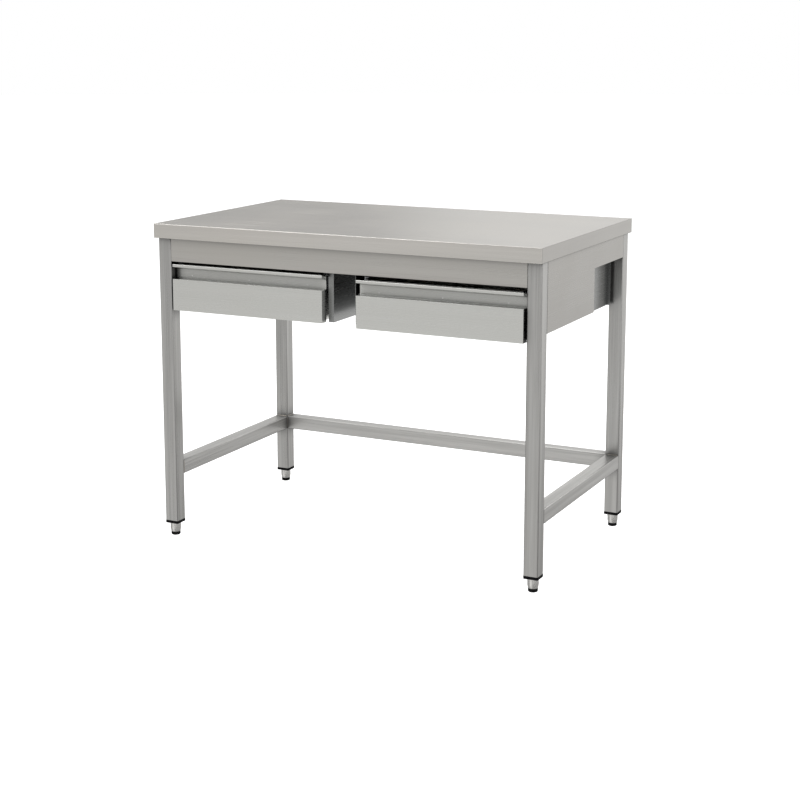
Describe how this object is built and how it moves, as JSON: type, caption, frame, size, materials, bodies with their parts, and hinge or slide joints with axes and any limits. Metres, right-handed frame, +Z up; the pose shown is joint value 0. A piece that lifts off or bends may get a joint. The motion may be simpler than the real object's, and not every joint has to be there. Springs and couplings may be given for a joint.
{
  "type": "work table",
  "caption": "Free-standing stainless steel work table with folded worktop, square tube legs, floor brace open at the front, sliding drawers with finger-recess fronts, and levelling feet.",
  "frame": {"origin": "on the floor at the middle of the table, below the centre of the worktop", "axes": "+X to the right along the worktop, +Y to the back, +Z up; the drawers open towards -Y"},
  "size_m": [1.15, 0.7, 0.9],
  "materials": {
    "worktop_stainless": "satin, grain along the length",
    "panel_stainless": "satin, grain along the sheet",
    "drawer_stainless": "satin, fine grain",
    "tube_stainless": "satin, grain along the tube",
    "housing_steel": "mill finish, bluish and darker than the covers",
    "foot_steel": "satin turned",
    "runner_steel": "bright zinc plating",
    "cage_steel": "plain plated strip",
    "fastener_steel": "bright stainless",
    "board": "raw chipboard",
    "black_plastic": "moulded, slight sheen",
    "black_rubber": "matte"
  },
  "bodies": {
    "frame": {"worktop_skin": "worktop_stainless", "worktop_core": "board", "worktop_stiffeners": "panel_stainless", "worktop_bolts": "fastener_steel", "leg_front_left": "tube_stainless", "leg_front_right": "tube_stainless", "leg_rear_left": "tube_stainless", "leg_rear_right": "tube_stainless", "front_apron": "panel_stainless", "rear_apron": "panel_stainless", "side_panel_left": "panel_stainless", "side_panel_right": "panel_stainless", "brace_left": "tube_stainless", "brace_right": "tube_stainless", "brace_rear": "tube_stainless", "leg_plugs": "black_plastic", "housing_wall_outer_left": "housing_steel", "housing_wall_outer_right": "housing_steel", "housing_wall_inner_left": "housing_steel", "housing_wall_inner_right": "housing_steel", "housing_back_left": "housing_steel", "housing_back_right": "housing_steel", "housing_bolts": "fastener_steel", "runner_bracket_left": "housing_steel", "runner_bracket_right": "housing_steel", "drawer_buffers": "black_rubber", "outer_rails_left": "runner_steel", "outer_rails_right": "runner_steel"},
    "left_drawer": {"drawer_tray_left": "drawer_stainless", "drawer_base_left": "drawer_stainless", "drawer_front_left": "drawer_stainless", "drawer_lip_left": "drawer_stainless", "front_screws_left": "fastener_steel", "inner_rails_left": "runner_steel"},
    "left_middle_members": {"middle_rails_left": "runner_steel"},
    "left_outer_cages": {"ball_cages_outer_left": "cage_steel"},
    "left_inner_cages": {"ball_cages_inner_left": "cage_steel"},
    "right_drawer": {"drawer_tray_right": "drawer_stainless", "drawer_base_right": "drawer_stainless", "drawer_front_right": "drawer_stainless", "drawer_lip_right": "drawer_stainless", "front_screws_right": "fastener_steel", "inner_rails_right": "runner_steel"},
    "right_middle_members": {"middle_rails_right": "runner_steel"},
    "right_outer_cages": {"ball_cages_outer_right": "cage_steel"},
    "right_inner_cages": {"ball_cages_inner_right": "cage_steel"},
    "front_left_foot": {"foot_sleeve_front_left": "foot_steel", "foot_stem_front_left": "foot_steel", "foot_pad_front_left": "black_rubber"},
    "front_right_foot": {"foot_sleeve_front_right": "foot_steel", "foot_stem_front_right": "foot_steel", "foot_pad_front_right": "black_rubber"},
    "rear_left_foot": {"foot_sleeve_rear_left": "foot_steel", "foot_stem_rear_left": "foot_steel", "foot_pad_rear_left": "black_rubber"},
    "rear_right_foot": {"foot_sleeve_rear_right": "foot_steel", "foot_stem_rear_right": "foot_steel", "foot_pad_rear_right": "black_rubber"}
  },
  "joints": [
    {"name": "left_drawer_slide", "type": "slide", "parent": "frame", "child": "left_drawer", "axis": [0, -1, 0], "range_m": [0, 0.45]},
    {"name": "left_middle_members_slide", "type": "slide", "parent": "frame", "child": "left_middle_members", "axis": [0, -1, 0], "range_m": [0, 0.225]},
    {"name": "left_outer_cages_slide", "type": "slide", "parent": "frame", "child": "left_outer_cages", "axis": [0, -1, 0], "range_m": [0, 0.1125]},
    {"name": "left_inner_cages_slide", "type": "slide", "parent": "frame", "child": "left_inner_cages", "axis": [0, -1, 0], "range_m": [0, 0.3375]},
    {"name": "right_drawer_slide", "type": "slide", "parent": "frame", "child": "right_drawer", "axis": [0, -1, 0], "range_m": [-0.012, 0.438]},
    {"name": "right_middle_members_slide", "type": "slide", "parent": "frame", "child": "right_middle_members", "axis": [0, -1, 0], "range_m": [-0.006, 0.219]},
    {"name": "right_outer_cages_slide", "type": "slide", "parent": "frame", "child": "right_outer_cages", "axis": [0, -1, 0], "range_m": [-0.003, 0.1095]},
    {"name": "right_inner_cages_slide", "type": "slide", "parent": "frame", "child": "right_inner_cages", "axis": [0, -1, 0], "range_m": [-0.009, 0.3285]},
    {"name": "front_left_foot_height", "type": "slide", "parent": "frame", "child": "front_left_foot", "axis": [0, 0, -1], "range_m": [-0.01, 0.025]},
    {"name": "front_right_foot_height", "type": "slide", "parent": "frame", "child": "front_right_foot", "axis": [0, 0, -1], "range_m": [-0.01, 0.025]},
    {"name": "rear_left_foot_height", "type": "slide", "parent": "frame", "child": "rear_left_foot", "axis": [0, 0, -1], "range_m": [-0.01, 0.025]},
    {"name": "rear_right_foot_height", "type": "slide", "parent": "frame", "child": "rear_right_foot", "axis": [0, 0, -1], "range_m": [-0.01, 0.025]}
  ],
  "couplings": [
    {"joint": "left_middle_members_slide", "follows": "left_drawer_slide", "ratio": 0.5},
    {"joint": "left_outer_cages_slide", "follows": "left_drawer_slide", "ratio": 0.25},
    {"joint": "left_inner_cages_slide", "follows": "left_drawer_slide", "ratio": 0.75},
    {"joint": "right_middle_members_slide", "follows": "right_drawer_slide", "ratio": 0.5},
    {"joint": "right_outer_cages_slide", "follows": "right_drawer_slide", "ratio": 0.25},
    {"joint": "right_inner_cages_slide", "follows": "right_drawer_slide", "ratio": 0.75}
  ]
}
